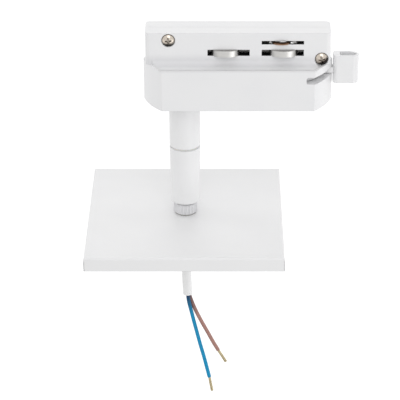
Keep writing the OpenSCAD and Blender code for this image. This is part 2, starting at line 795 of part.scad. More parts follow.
// Sliding washer that shows in the groove
module swivel_washer() {
    color("dimgray") translate([0, 0, sleeve_z])
        ring_solid(tube_d - 2 * groove_inset, neck_d + 2 * run_fit, groove_h - groove_play);
}

// Lower sleeve: a slightly tapered shell with a cap and a web inside
module lower_sleeve() {
    foot_r = sleeve_foot_d / 2;
    top_r = tube_d / 2;
    bore_r = foot_r - sleeve_wall;
    thread_r = nipple_d / 2 + run_fit;
    web_top = web_set_back + sleeve_web;
    cap_z = sleeve_len - sleeve_cap;
    color("white") translate([0, 0, sleeve_end_z]) rotate_extrude($fn = 96) polygon([
        [bore_r, 0], [foot_r - tube_edge, 0], [foot_r, tube_edge], [top_r, sleeve_len - tube_edge],
        [top_r - tube_edge, sleeve_len], [thread_r, sleeve_len], [thread_r, cap_z], [bore_r, cap_z],
        [bore_r, web_top], [thread_r, web_top], [thread_r, web_set_back], [bore_r, web_set_back]
    ]);
}

module plate_nipple() {
    color("silver") translate([0, 0, lower_nipple_end_z])
        ring_solid(nipple_d, nipple_bore, lower_nipple_top_z - lower_nipple_end_z);
}

// Round lock nut with upright ribs for the fingers
module lock_nut() {
    color("silver") translate([0, 0, lock_nut_z]) difference() {
        rotate_extrude($fn = 96) polygon([
            [nipple_d / 2 + run_fit, 0], [lock_nut_d / 2 - nut_edge, 0], [lock_nut_d / 2, nut_edge],
            [lock_nut_d / 2, lock_nut_h - nut_edge], [lock_nut_d / 2 - nut_edge, lock_nut_h],
            [nipple_d / 2 + run_fit, lock_nut_h]
        ]);
        for (k = [0:lock_nut_ribs - 1]) rotate([0, 0, 360 * k / lock_nut_ribs])
            translate([lock_nut_d / 2 + lock_nut_groove_d / 8, 0, -over])
            cylinder(d = lock_nut_groove_d, h = lock_nut_h + 2 * over, $fn = 16);
    }
}

module lock_washer() {
    color("gray") translate([0, 0, plate_z])
        ring_solid(lock_nut_d - 2 * lock_washer_inset, nipple_d + 2 * run_fit, washer_t);
}

// Section of a folded tray: a flat top between two round bends
module bent_profile(side, h, r) {
    translate([-side / 2, 0]) square([side, h - r]);
    translate([r - side / 2, 0]) square([side - 2 * r, h]);
    for (x = [-1, 1]) translate([x * (side / 2 - r), h - r]) circle(r);
}

// A square block with its four upper edges bent round
module bent_block(side, h, r) {
    intersection() {
        rotate([90, 0, 0]) linear_extrude(side, center = true) bent_profile(side, h, r);
        rotate([90, 0, 90]) linear_extrude(side, center = true) bent_profile(side, h, r);
    }
}

// Square plate: a shallow tray folded from sheet, with a narrow open seam at each corner
module plate() {
    outer_bend = bend_r + plate_t;
    corner = plate_w / 2 - outer_bend;
    color("white") translate([0, 0, plate_foot_z]) difference() {
        bent_block(plate_w, plate_h, outer_bend);
        translate([0, 0, -over]) bent_block(plate_w - 2 * plate_t, plate_h - plate_t + over, bend_r);
        for (turn = [0:3]) rotate([0, 0, 90 * turn]) translate([corner, corner, -over])
            rotate([0, 0, 45]) translate([0, -corner_seam / 2, 0])
            cube([2 * outer_bend, corner_seam, plate_h - outer_bend - seam_stop + over]);
        translate([0, 0, plate_h - plate_t - over])
            cylinder(d = nipple_d + plate_hole_free, h = plate_t + 2 * over);
    }
}

module plate_washer() {
    color("silver") translate([0, 0, plate_under_z - washer_t])
        ring_solid(hex_af + plate_washer_lip, nipple_d + washer_free, washer_t);
}

module plate_nut() {
    color("silver") translate([0, 0, plate_nut_z]) hex_nut(nipple_d + 2 * run_fit);
}

// Soft bush that keeps the nipple's edge off the lead
module cable_bush() {
    bore_r = cable_d / 2 + run_fit;
    body_r = nipple_bore / 2 - run_fit;
    lip_r = nipple_d / 2 - bush_edge;
    top = bush_lip + bush_deep;
    color("whitesmoke") translate([0, 0, bush_z]) rotate_extrude() polygon([
        [bore_r, 0], [lip_r - bush_edge, 0], [lip_r, bush_edge], [lip_r, bush_lip], [body_r, bush_lip],
        [body_r, top - bush_edge], [body_r - bush_edge / 2, top], [bore_r, top]
    ]);
}

module stem_cable() { color("white") swept_tube(stem_cable_route, cable_d, 12); }
module line_core_inner() {
    color("sienna") mirror([0, 1, 0]) swept_tube(line_route, core_d);
}
module neutral_core_inner() { color("dodgerblue") swept_tube(line_route, core_d); }
module cable() { color("white") swept_tube(cable_route, cable_d, 12); }
module blue_core() { color("dodgerblue") swept_tube(blue_route, core_d); }
module brown_core() { color("sienna") swept_tube(brown_route, core_d); }
module blue_strands() { color("goldenrod") swept_tube(blue_tip_route, strand_d); }
module brown_strands() { color("goldenrod") swept_tube(brown_tip_route, strand_d); }

housing();
insert_front();
insert_back();
shell_screws();
contact_front();
contact_back();
side_spring_front_left();
side_spring_front_right();
side_spring_back_left();
side_spring_back_right();
lock_slide();
lock_lever();
lever_pivot();
upper_tube();
tube_nipple();
tube_nut();
swivel_spindle();
swivel_washer();
lower_sleeve();
plate_nipple();
lock_nut();
lock_washer();
plate();
plate_washer();
plate_nut();
cable_bush();
stem_cable();
line_core_inner();
neutral_core_inner();
cable();
blue_core();
brown_core();
blue_strands();
brown_strands();
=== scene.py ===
"""Looks of the track light mount: a white track adapter, its turning stem, a square plate and its lead.

Lengths are metres in the CAD frame. X runs along the track to the lock lever, Y to the back and Z up,
and the origin is on the stem's axis at the top of the insert. Sizes noted in millimetres are times MM.
"""

import json
import math

import bpy
import numpy as np
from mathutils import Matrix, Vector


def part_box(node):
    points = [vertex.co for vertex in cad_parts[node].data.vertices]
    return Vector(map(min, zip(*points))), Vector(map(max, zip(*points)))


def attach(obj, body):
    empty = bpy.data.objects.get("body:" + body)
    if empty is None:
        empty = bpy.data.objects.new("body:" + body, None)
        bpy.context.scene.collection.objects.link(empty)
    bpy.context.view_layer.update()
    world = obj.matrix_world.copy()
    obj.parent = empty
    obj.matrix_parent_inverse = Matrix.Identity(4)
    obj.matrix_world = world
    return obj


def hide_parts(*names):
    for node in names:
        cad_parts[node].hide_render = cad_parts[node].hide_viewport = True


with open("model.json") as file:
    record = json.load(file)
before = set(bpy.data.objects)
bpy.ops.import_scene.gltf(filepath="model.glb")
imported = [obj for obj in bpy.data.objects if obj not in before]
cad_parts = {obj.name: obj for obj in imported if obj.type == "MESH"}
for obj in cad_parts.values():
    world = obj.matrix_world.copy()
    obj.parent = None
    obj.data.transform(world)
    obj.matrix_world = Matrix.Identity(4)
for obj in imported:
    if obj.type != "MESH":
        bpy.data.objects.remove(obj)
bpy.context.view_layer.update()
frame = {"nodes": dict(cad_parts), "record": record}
nodes = frame["nodes"]

MM = 0.001
TURN = 2 * math.pi


# Camera and lamps

CAMERA_PLACE = (0.01925, -0.95734, 0.39572)
CAMERA_DOWN_DEG = 27.56
CAMERA_LENS_MM = 174.27
CAMERA_SHIFT = -0.05


def set_camera():
    """The photograph's camera: it looks along Y, 27.56 degrees down, from 0.96 m in front of the stem."""
    lens = bpy.data.cameras.new("camera")
    lens.sensor_width = 36
    lens.lens = CAMERA_LENS_MM
    lens.shift_x = CAMERA_SHIFT
    lens.clip_start = 0.05
    lens.clip_end = 20
    camera = bpy.data.objects.new("camera", lens)
    camera.location = CAMERA_PLACE
    camera.rotation_euler = (math.radians(90 - CAMERA_DOWN_DEG), 0, 0)
    bpy.context.scene.collection.objects.link(camera)
    bpy.context.scene.camera = camera


def softbox(name, place, target, width, height, watts):
    """A white rectangular area lamp at place that faces target."""
    lamp = bpy.data.lights.new(name, "AREA")
    lamp.shape = "RECTANGLE"
    lamp.size = width
    lamp.size_y = height
    lamp.energy = watts
    holder = bpy.data.objects.new(name, lamp)
    holder.location = place
    aim = Vector(target) - Vector(place)
    holder.rotation_euler = aim.to_track_quat("-Z", "Y").to_euler()
    bpy.context.scene.collection.objects.link(holder)


# Material helpers


def linear(hex_colour):
    """An sRGB hex colour as linear red, green, blue and alpha."""
    srgb = np.array([int(hex_colour[i : i + 2], 16) for i in (0, 2, 4)]) / 255
    return [*np.where(srgb <= 0.04045, srgb / 12.92, ((srgb + 0.055) / 1.055) ** 2.4), 1]


def add(tree, kind, sockets=None, links=None, **settings):
    """Adds a node, sets its settings and the values of its sockets, and joins what feeds its sockets."""
    made = tree.nodes.new("ShaderNode" + kind)
    for key, value in settings.items():
        setattr(made, key, value)
    for key, value in (sockets or {}).items():
        made.inputs[key].default_value = value
    for key, source in (links or {}).items():
        tree.links.new(source, made.inputs[key])
    return made


def start(name, hex_colour, roughness, metallic=0.0, ior=1.5, **sockets):
    """A material with one principled shader, its output and object coordinates."""
    material = bpy.data.materials.new(name)
    material.use_nodes = True
    tree = material.node_tree
    tree.nodes.clear()
    values = {"Base Color": linear(hex_colour), "Roughness": roughness, "Metallic": metallic}
    if not metallic:
        values["IOR"] = ior
    values.update({key.replace("_", " "): value for key, value in sockets.items()})
    shader = add(tree, "BsdfPrincipled", values)
    add(tree, "OutputMaterial", links={"Surface": shader.outputs["BSDF"]})
    place = add(tree, "TexCoord").outputs["Object"]
    return material, tree, shader, place


def tint(tree, shader, factor, dark, light):
    """Colours the shader between two hex colours by a factor."""
    ramp = add(
        tree, "Mix", {"A": linear(dark), "B": linear(light)}, {"Factor": factor}, data_type="RGBA"
    )
    tree.links.new(ramp.outputs["Result"], shader.inputs["Base Color"])


def gloss(tree, shader, factor, low, high):
    """Spreads the shader's roughness between low and high by a factor."""
    span = add(tree, "MapRange", {"To Min": low, "To Max": high}, {"Value": factor})
    tree.links.new(span.outputs["Result"], shader.inputs["Roughness"])


def cover(tree, shader, share, hex_colour, blend_type="MIX"):
    """Lays a hex colour over what colours the shader so far, where the share is one."""
    below = shader.inputs["Base Color"].links[0].from_socket
    laid = add(
        tree, "Mix", {"B": linear(hex_colour)}, {"A": below, "Factor": share},
        data_type="RGBA", blend_type=blend_type,
    )
    tree.links.new(laid.outputs["Result"], shader.inputs["Base Color"])


def in_box(tree, place, low, high):
    """One inside a box, given by two corners in millimetres, and zero outside it."""
    low, high = np.array(low) * MM, np.array(high) * MM
    from_middle = add(tree, "VectorMath", {1: (low + high) / 2}, {0: place}, operation="SUBTRACT")
    size = add(tree, "VectorMath", links={0: from_middle.outputs[0]}, operation="ABSOLUTE")
    past = add(tree, "VectorMath", {1: (high - low) / 2}, {0: size.outputs[0]}, operation="SUBTRACT")
    sides = add(tree, "SeparateXYZ", links={0: past.outputs[0]}).outputs
    most = add(tree, "Math", links={0: sides[0], 1: sides[1]}, operation="MAXIMUM")
    most = add(tree, "Math", links={0: most.outputs[0], 1: sides[2]}, operation="MAXIMUM")
    return add(tree, "Math", {1: 0.0}, {0: most.outputs[0]}, operation="LESS_THAN").outputs[0]


def paint_shade_line(tree, shader, place, y, z, reach, hex_colour):
    """Darkens the shader's colour towards a line along X at |Y| = y and |Z| = z in millimetres, as
    painted shade.
    """
    size = add(tree, "VectorMath", links={0: place}, operation="ABSOLUTE").outputs[0]
    section = add(tree, "VectorMath", {1: (0, 1, 1)}, {0: size}, operation="MULTIPLY").outputs[0]
    gap = add(tree, "VectorMath", {1: (0, y * MM, z * MM)}, {0: section}, operation="DISTANCE")
    near = add(
        tree, "MapRange", {"From Max": reach * MM, "To Min": 1, "To Max": 0},
        {"Value": gap.outputs["Value"]}, interpolation_type="SMOOTHSTEP",
    )
    cover(tree, shader, near.outputs[0], hex_colour, "MULTIPLY")


# Materials

# Where painted shade greys the white plastic, in the cove at the insert's foot and in the seam at the
# housing's rim: a line's distance from the middle plane, its depth below the insert's top, how far the
# shade reaches from it in millimetres, and its colour
COVE_SHADE = (9.6, 16.6, 5.4, "F3F3F4")
SEAM_SHADE = (16.3, 18.1, 1.7, "ECECEC")

# Corners in millimetres of the insert's hollow and of the block that its slots cut through the walls,
# which are painted black as painted shade
INSERT_HOLLOW = ([-16.5, -7.2, -30], [74.1, 7.2, -1.4])
SLOT_BLOCK = ([11, -8.42, -13.3], [65.4, 8.42, -2.6])

# Heights in millimetres between which the copper contact turns from painted shade above to its own
# dull brown below
COPPER_SHADED_Z, COPPER_LIT_Z = -4.9, -6.1

# Heights in millimetres at which the painted shade on the cores below the sheath is full and at which
# it has faded
CORE_SHADED_Z, CORE_LIT_Z = -164, -178


def moulded_polycarbonate(name, shade_lines=(), shade_boxes=()):
    """White polycarbonate, injection moulded: satin, with a fine eroded grain and soft mould edges.

    The grain is drawn at 0.6 mm, since the real 0.1 mm one is too fine to show. Flow from the gate
    leaves faint 20 mm clouds in the gloss. Painted shade greys the corners along the lines that it is
    given. What lies in either of two boxes is painted black and fully matt, as painted shade in the
    hollow behind the slots.
    """
    material, tree, shader, place = start(name, "EDEDEE", 0.4, ior=1.585)
    clouds = add(tree, "TexNoise", {"Scale": 1 / (20 * MM), "Detail": 3}, {"Vector": place})
    grain = add(tree, "TexNoise", {"Scale": 1 / (0.6 * MM), "Detail": 2}, {"Vector": place})
    tint(tree, shader, clouds.outputs["Fac"], "E9E9EB", "F0F0F0")
    gloss(tree, shader, clouds.outputs["Fac"], 0.34, 0.46)
    soft = add(tree, "Bevel", {"Radius": 0.35 * MM}, samples=6)
    bump = add(
        tree, "Bump", {"Strength": 0.35, "Distance": 0.012 * MM},
        {"Height": grain.outputs["Fac"], "Normal": soft.outputs["Normal"]},
    )
    tree.links.new(bump.outputs["Normal"], shader.inputs["Normal"])
    # Painted shade in the corners along the given lines
    for line in shade_lines:
        paint_shade_line(tree, shader, place, *line)
    # Painted shade: what lies in the hollow and behind the slots is painted black and matt
    if shade_boxes:
        first, second = (in_box(tree, place, *corners) for corners in shade_boxes)
        inside = add(tree, "Math", links={0: first, 1: second}, operation="MAXIMUM").outputs[0]
        cover(tree, shader, inside, "0C0C0E")
        clouded = shader.inputs["Roughness"].links[0].from_socket
        matt = add(tree, "Math", links={0: clouded, 1: inside}, operation="MAXIMUM")
        tree.links.new(matt.outputs[0], shader.inputs["Roughness"])
    return material


def powder_coat(name, dark, light):
    """White powder coat on steel: a closed satin film with a slow orange-peel wave, thinner on edges.

    The wave is 2.5 mm long and a few micrometres high, fine pores 0.9 mm apart lie on it, and the
    film's thickness shades it in faint 30 mm clouds.
    """
    material, tree, shader, place = start(name, light, 0.38, ior=1.5)
    peel = add(tree, "TexNoise", {"Scale": 1 / (2.5 * MM), "Detail": 1.5}, {"Vector": place})
    pores = add(tree, "TexVoronoi", {"Scale": 1 / (0.9 * MM)}, {"Vector": place})
    clouds = add(tree, "TexNoise", {"Scale": 1 / (30 * MM), "Detail": 2}, {"Vector": place})
    tint(tree, shader, clouds.outputs["Fac"], dark, light)
    gloss(tree, shader, peel.outputs["Fac"], 0.32, 0.44)
    soft = add(tree, "Bevel", {"Radius": 0.5 * MM}, samples=6)
    wave = add(
        tree, "Bump", {"Strength": 0.5, "Distance": 0.02 * MM},
        {"Height": peel.outputs["Fac"], "Normal": soft.outputs["Normal"]},
    )
    fine = add(
        tree, "Bump", {"Strength": 0.25, "Distance": 0.008 * MM},
        {"Height": pores.outputs["Distance"], "Normal": wave.outputs["Normal"]},
    )
    tree.links.new(fine.outputs["Normal"], shader.inputs["Normal"])
    return material


def rolled_nickel_strip():
    """Spring steel strip, rolled and nickel plated: grey and satin, with lines along the strip.

    The rolling lines are 0.25 mm apart across the strip and 12 mm long.
    """
    material, tree, shader, place = start("nickel_plated_spring_strip", "C2C1BE", 0.34, 1.0)
    along = add(tree, "Mapping", {"Scale": (0.02, 1, 1)}, {"Vector": place})
    lines = add(tree, "TexNoise", {"Scale": 1 / (0.25 * MM), "Detail": 3}, {"Vector": along.outputs[0]})
    tint(tree, shader, lines.outputs["Fac"], "B2B1AE", "CFCECC")
    gloss(tree, shader, lines.outputs["Fac"], 0.26, 0.44)
    return material


def copper_strip():
    """Rolled copper strip, uncoated: nearly black above, as painted shade, and dull brown below.

    The painted shade breaks up in blotches of 3 mm, and rolling lines 0.2 mm apart run along the
    strip. How lit it is grows with the depth times the blotches, from where that passes 0.15.
    """
    material, tree, shader, place = start("copper_strip_with_painted_shade", "8A6148", 0.3, 1.0)
    blotches = add(tree, "TexNoise", {"Scale": 1 / (3 * MM), "Detail": 4}, {"Vector": place})
    along = add(tree, "Mapping", {"Scale": (0.03, 1, 1)}, {"Vector": place})
    lines = add(tree, "TexNoise", {"Scale": 1 / (0.2 * MM), "Detail": 2}, {"Vector": along.outputs[0]})
    height = add(tree, "SeparateXYZ", links={0: place}).outputs["Z"]
    low = add(
        tree, "MapRange", {"From Min": COPPER_SHADED_Z * MM, "From Max": COPPER_LIT_Z * MM}, {"Value": height}
    ).outputs[0]
    unshaded = add(tree, "Math", {2: -0.15}, {0: blotches.outputs["Fac"], 1: low}, operation="MULTIPLY_ADD")
    lit_share = add(tree, "Math", {1: 1.9}, {0: unshaded.outputs[0]}, operation="MULTIPLY", use_clamp=True)
    # Nearly black above as painted shade, dull brown copper below
    tint(tree, shader, lit_share.outputs[0], "2B1D14", "A9876E")
    gloss(tree, shader, lines.outputs["Fac"], 0.3, 0.5)
    return material


def plated_bolt():
    """Cold-headed bolts, nickel plated: a warm bright metal, darkened in part to a dull brown black as
    painted reflection and painted shade.

    How much it is darkened is a point attribute on the mesh, and blotches of 0.9 mm break up its edge.
    """
    material, tree, shader, place = start("nickel_plated_bolt", "D6CBB6", 0.2, 1.0)
    blotches = add(tree, "TexNoise", {"Scale": 1 / (0.9 * MM), "Detail": 3}, {"Vector": place})
    reflection_and_shade = add(tree, "Attribute", attribute_name="reflection_and_shade").outputs["Fac"]
    broken = add(tree, "Math", {1: 0.5}, {0: blotches.outputs["Fac"]}, operation="SUBTRACT").outputs[0]
    darkened = add(tree, "Math", {1: 0.7}, {0: broken, 2: reflection_and_shade}, operation="MULTIPLY_ADD", use_clamp=True)
    # Warm nickel where lit, dull brown black where painted reflection and shade darken it
    tint(tree, shader, darkened.outputs[0], "CFC5B9", "1B1614")
    gloss(tree, shader, darkened.outputs[0], 0.2, 0.34)
    return material


def zinc_plate():
    """Turned steel, zinc plated and passivated: a cool grey metal with a faint blue and straw bloom.

    The bloom comes in 5 mm clouds, and tool marks lie 0.3 mm apart up the axis.
    """
    material, tree, shader, place = start("zinc_plated_turned_steel", "B9BCBE", 0.36, 1.0)
    bloom = add(tree, "TexNoise", {"Scale": 1 / (5 * MM), "Detail": 2}, {"Vector": place})
    tint(tree, shader, bloom.outputs["Fac"], "AEB6BE", "C9C6B8")
    turned = add(tree, "Mapping", {"Scale": (0.05, 0.05, 1)}, {"Vector": place})
    marks = add(tree, "TexNoise", {"Scale": 1 / (0.3 * MM), "Detail": 2}, {"Vector": turned.outputs[0]})
    gloss(tree, shader, marks.outputs["Fac"], 0.26, 0.48)
    bump = add(tree, "Bump", {"Strength": 0.3, "Distance": 0.01 * MM}, {"Height": marks.outputs["Fac"]})
    tree.links.new(bump.outputs["Normal"], shader.inputs["Normal"])
    return material


def turned_nylon():
    """Natural nylon, turned: milky and waxy, with light let in below the surface."""
    material, tree, shader, place = start(
        "turned_natural_nylon", "F0F0EC", 0.45, ior=1.53, Subsurface_Weight=0.2, Subsurface_Scale=0.5 * MM
    )
    clouds = add(tree, "TexNoise", {"Scale": 1 / (2 * MM), "Detail": 2}, {"Vector": place})
    tint(tree, shader, clouds.outputs["Fac"], "ECEBE7", "F4F4F1")
    return material


def grey_washer_as_shade():
    """Dull grey, as painted shade in the gap under the lock nut, with short hairs of 0.4 mm pressed in
    it.
    """
    material, tree, shader, place = start("grey_washer_painted_shade", "A3A29E", 0.7, ior=1.5)
    hairs = add(tree, "TexNoise", {"Scale": 1 / (0.4 * MM), "Detail": 4}, {"Vector": place})
    tint(tree, shader, hairs.outputs["Fac"], "92918D", "B4B3AF")
    return material


def acetal_painted_black():
    """Moulded acetal, coloured black as painted shade behind the slots: matt and waxy, with faint 4 mm
    clouds, for the bar behind the springs.
    """
    material, tree, shader, place = start(
        "acetal_painted_black_as_shade", "161618", 0.55, ior=1.48, Specular_IOR_Level=0.2
    )
    clouds = add(tree, "TexNoise", {"Scale": 1 / (4 * MM), "Detail": 3}, {"Vector": place})
    tint(tree, shader, clouds.outputs["Fac"], "121214", "1E1E20")
    return material


def soft_pvc(name, dark, light, roughness, shade_colour=None):
    """Plasticised PVC, extruded: a soft sheen with slow ripples 3 mm long along it.

    Talc lies on it in 0.7 mm specks, so it shines less than the plastic itself. Its painted shade
    colour, if it is given one, fades out over the first 14 mm below the sheath.
    """
    material, tree, shader, place = start(name, light, roughness, ior=1.53, Specular_IOR_Level=0.25)
    ripple = add(tree, "TexNoise", {"Scale": 1 / (3 * MM), "Detail": 1}, {"Vector": place})
    talc = add(tree, "TexNoise", {"Scale": 1 / (0.7 * MM), "Detail": 3}, {"Vector": place})
    tint(tree, shader, talc.outputs["Fac"], dark, light)
    # Painted shade where the cores come out of the sheath
    if shade_colour:
        height = add(tree, "SeparateXYZ", links={0: place}).outputs["Z"]
        near = add(
            tree, "MapRange", {"From Min": CORE_LIT_Z * MM, "From Max": CORE_SHADED_Z * MM}, {"Value": height}
        )
        cover(tree, shader, near.outputs[0], shade_colour)
    gloss(tree, shader, talc.outputs["Fac"], roughness - 0.05, roughness + 0.08)
    bump = add(tree, "Bump", {"Strength": 0.4, "Distance": 0.05 * MM}, {"Height": ripple.outputs["Fac"]})
    tree.links.new(bump.outputs["Normal"], shader.inputs["Normal"])
    return material


def annealed_strands():
    """Fine annealed copper wires, lightly tinned: a pale gold metal, duller where they were handled.

    The dull spots are 0.8 mm wide.
    """
    material, tree, shader, place = start("annealed_copper_strands", "B8A984", 0.42, 1.0)
    blotches = add(tree, "TexNoise", {"Scale": 1 / (0.8 * MM), "Detail": 3}, {"Vector": place})
    tint(tree, shader, blotches.outputs["Fac"], "A09170", "D8CCAC")
    return material


# Surfaces on grids


def skin(grid, caps=(True, True)):
    """Points and faces of a tube-like grid of rings x sides x 3: each ring closes on itself.

    Neighbouring rings are joined by four-sided faces, and a capped end gets a fan round its middle.
    """
    rings, sides = grid.shape[:2]
    ring, side = np.meshgrid(np.arange(rings - 1), np.arange(sides), indexing="ij")
    here, after = ring * sides + side, ring * sides + (side + 1) % sides
    faces = np.stack([here, after, after + sides, here + sides], axis=-1).reshape(-1, 4).tolist()
    points = grid.reshape(-1, 3)
    around = np.arange(sides)
    for capped, row, order in ((caps[0], 0, -1), (caps[1], rings - 1, 1)):
        if capped:
            middle = len(points)
            points = np.vstack([points, grid[row].mean(axis=0)])
            rim = np.stack([row * sides + around, row * sides + (around + 1) % sides], axis=1)[:, ::order]
            faces += np.column_stack([rim, np.full(sides, middle)]).tolist()
    return points, faces


def piece(name, skins, material, body, slot, *stands_for):
    """One object from several skins, shaded smooth, that rides on a body and stands for CAD nodes."""
    points, faces, count = [], [], 0
    for skin_points, skin_faces in skins:
        faces += [[corner + count for corner in face] for face in skin_faces]
        points.append(skin_points)
        count += len(skin_points)
    mesh = bpy.data.meshes.new(name)
    mesh.from_pydata(np.vstack(points).tolist(), [], faces)
    mesh.shade_smooth()
    mesh.materials.append(material)
    made = bpy.data.objects.new(name, mesh)
    bpy.context.scene.collection.objects.link(made)
    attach(made, body)
    if stands_for:
        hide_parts(*stands_for)
    return made


def reach_along(route):
    """Distance from a route's start at each of its points, as the sum of the steps before it."""
    return np.concatenate([[0], np.cumsum(np.linalg.norm(np.diff(route, axis=0), axis=1))])


def smooth_route(points, count):
    """A smooth line through given points in millimetres, as count points in metres.

    Between two points it is the cubic with the chord-length slope of each point's neighbours.
    """
    knots = np.array(points, float) * MM
    reach = reach_along(knots)
    slopes = np.gradient(knots, reach, axis=0)
    at = np.linspace(0, reach[-1], count)
    left = np.clip(np.searchsorted(reach, at, side="right") - 1, 0, len(reach) - 2)
    span = (reach[left + 1] - reach[left])[:, None]
    u = (at - reach[left])[:, None] / span
    return (
        (2 * u**3 - 3 * u**2 + 1) * knots[left]
        + (u**3 - 2 * u**2 + u) * span * slopes[left]
        + (3 * u**2 - 2 * u**3) * knots[left + 1]
        + (u**3 - u**2) * span * slopes[left + 1]
    )


def frame_at(route, along):
    """Places on a route at given distances from its start, and two directions square to it there.

    The first direction is the route's heading crossed with Y, and the second is square to both.
    """
    reach = reach_along(route)
    heading = np.gradient(route, reach, axis=0)
    place, towards = (
        np.stack([np.interp(along, reach, values[:, k]) for k in range(3)], axis=-1)
        for values in (route, heading)
    )
    towards /= np.linalg.norm(towards, axis=-1, keepdims=True)
    across = np.cross(towards, [0.0, 1.0, 0.0])
    across /= np.linalg.norm(across, axis=-1, keepdims=True)
    return place, across, np.cross(towards, across)


def sleeve(route, radius, wall, hollow, sides):
    """A soft tube along a route, cut square at its far end, which is open for the depth of its hollow.

    Each ring is a circle centred on the route and square to it. The radii run full to the cut, round
    over it in a 0.12 mm lip, and the inner wall goes back up to a closed floor.
    """
    length = reach_along(route)[-1]
    lip = 0.12 * MM
    outer = np.linspace(0, length - lip, len(route))
    along = np.concatenate([outer, [length - lip / 3, length, length, length - lip, length - hollow]])
    inner = radius - wall
    radii = np.concatenate(
        [np.full(len(route), radius), [radius - lip / 3, radius - lip, inner + lip / 2, inner, inner]]
    )[:, None, None]
    place, across, up = frame_at(route, along)
    turn = np.linspace(0, TURN, sides, endpoint=False)[None, :, None]
    return skin(place[:, None] + radii * (np.cos(turn) * across[:, None] + np.sin(turn) * up[:, None]))


def strand_bundle(route, radius, lay):
    """Nineteen fine wires twisted round a route: one in the middle, six round it and twelve outside.

    Wire k's middle goes round the route once in each lay length, at its layer's radius, which opens
    by a tenth towards the cut end. Each wire is a round tube a fifth of the bundle's width across.
    """
    length = reach_along(route)[-1]
    wire = radius / 5
    rings, sides = 26, 7
    along = np.linspace(0, length, rings)
    place, across, up = frame_at(route, along)
    layer = np.array([0] + [2] * 6 + [4] * 12) * wire
    first = np.concatenate([[0], np.arange(6) / 6, (np.arange(12) + 0.5) / 12]) * TURN
    angle = first[:, None] + TURN * along[None] / lay
    spread = layer[:, None] * (1 + 0.1 * (along / length) ** 2)[None]
    middles = place[None] + spread[..., None] * (
        np.cos(angle)[..., None] * across[None] + np.sin(angle)[..., None] * up[None]
    )
    turn = np.linspace(0, TURN, sides, endpoint=False)[None, None, :, None]
    grids = middles[:, :, None] + wire * (
        np.cos(turn) * across[None, :, None] + np.sin(turn) * up[None, :, None]
    )
    return [skin(grid) for grid in grids]


# Lead

SHEATH_D = 5.4 * MM
SHEATH_WALL = 0.34 * MM
SHEATH_HOLLOW = 2.2 * MM
CORE_D = 2.2 * MM
CORE_WALL = 0.42 * MM
CORE_HOLLOW = 1.1 * MM
STRAND_D = 1.6 * MM
STRAND_LAY = 14 * MM

# Points of the lead's lines in millimetres, chosen against the photograph
CABLE_ROUTE = [
    [0, 0, -117.6], [0, 0, -122], [0.05, 0, -129], [0.15, 0, -139], [0.3, 0, -150], [0.55, 0, -159.5],
    [0.75, 0, -163], [0.8, 0, -164.2],
]
BLUE_ROUTE = [
    [0.85, -0.95, -162], [1, -1.05, -165.5], [1.5, -1, -169.5], [2.45, -0.7, -174], [4.1, -0.2, -182],
    [5.9, 0, -190], [7.85, 0, -198.5], [9.85, 0, -206.5], [11.75, 0, -215], [13, 0, -220.6],
]
BLUE_TIP_ROUTE = [[12.75, 0, -219.4], [13, 0, -220.6], [13.8, 0, -225.5], [14.6, 0, -230]]
BROWN_ROUTE = [
    [1.5, 0.95, -162], [1.75, 1.05, -165.5], [2.9, 1, -169.5], [4.6, 0.6, -174], [8.2, 0.1, -182],
    [12.1, 0, -190], [16.1, 0, -198.3], [18.2, 0, -202.2],
]
BROWN_TIP_ROUTE = [[17.6, 0, -201.1], [18.2, 0, -202.2], [20.5, 0, -206.3], [22.6, 0, -210]]


def lead(materials):
    """The lead that hangs below the plate: its sheath, two cores and their bared wires."""
    sheath_line = smooth_route(CABLE_ROUTE, 36)
    sheath = piece(
        "lead_sheath", [sleeve(sheath_line, SHEATH_D / 2, SHEATH_WALL, SHEATH_HOLLOW, 40)],
        materials["cable_sheath"], "stem_foot", "cable_sheath", "cable",
    )
    for colour, route, count, tip_route in (
        ("blue", BLUE_ROUTE, 40, BLUE_TIP_ROUTE), ("brown", BROWN_ROUTE, 36, BROWN_TIP_ROUTE),
    ):
        line = smooth_route(route, count)
        insulation = colour + "_insulation"
        core = piece(
            f"lead_{colour}_core", [sleeve(line, CORE_D / 2, CORE_WALL, CORE_HOLLOW, 28)],
            materials[insulation], "stem_foot", insulation, colour + "_core",
        )
        wires = piece(
            f"lead_{colour}_wires", strand_bundle(smooth_route(tip_route, 20), STRAND_D / 2, STRAND_LAY),
            materials["strands"], "stem_foot", "copper", colour + "_strands",
        )


# Spring lips

# A side spring in millimetres: its foot's distance from the middle plane, how far it bows out from
# there, half the bow's length, the power that rounds the bow, and the middles of the bows along X
SPRING_FOOT_Y = 3.85
SPRING_BOW = 7.3
SPRING_HALF_LENGTH = 7.7
SPRING_POWER = 2.6
SPRING_MIDDLES = (22.2, 53)

# Its folded lip: thickness, height, the inner edge's distance from the middle plane, how far its
# outer edge lies inside the bow's face, and the share of the bow's length that it spans
LIP_T = 0.3
LIP_Z = -9.75
LIP_INNER_Y = 7.4
LIP_INSET = 0.2
LIP_SPAN = 0.9


